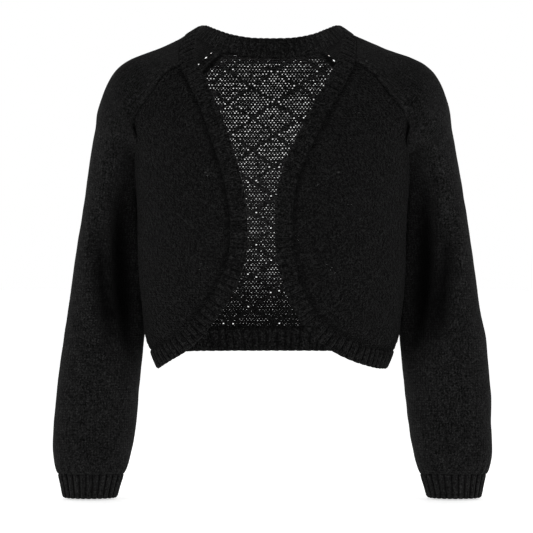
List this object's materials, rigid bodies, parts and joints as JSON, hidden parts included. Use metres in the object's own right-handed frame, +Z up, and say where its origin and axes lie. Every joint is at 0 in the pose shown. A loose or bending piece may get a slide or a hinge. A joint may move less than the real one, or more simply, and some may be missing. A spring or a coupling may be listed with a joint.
{
  "type": "open-front cardigan",
  "caption": "Cropped open-front knit cardigan with raglan sleeves, rounded fronts, a ribbed edge band, ribbed cuffs and a ribbed back hem, in the form it has when worn.",
  "frame": {"origin": "middle of the neck at the level of the highest point of the shoulders, where the garment hangs on its wearer", "axes": "+Z up towards the neck, +X to the wearer's left, +Y to the wearer's back, so the open front faces -Y"},
  "size_m": [0.5856, 0.2229, 0.63],
  "materials": {
    "knit": "matt black fine knit with a slight fuzz",
    "rib": "matt black ribbed knit"
  },
  "bodies": {
    "root": {"back": "knit", "back_hem": "rib", "cuff_left": "rib", "cuff_right": "rib", "front_band": "rib", "front_left": "knit", "front_right": "knit", "sleeve_left": "knit", "sleeve_right": "knit"}
  },
  "joints": []
}
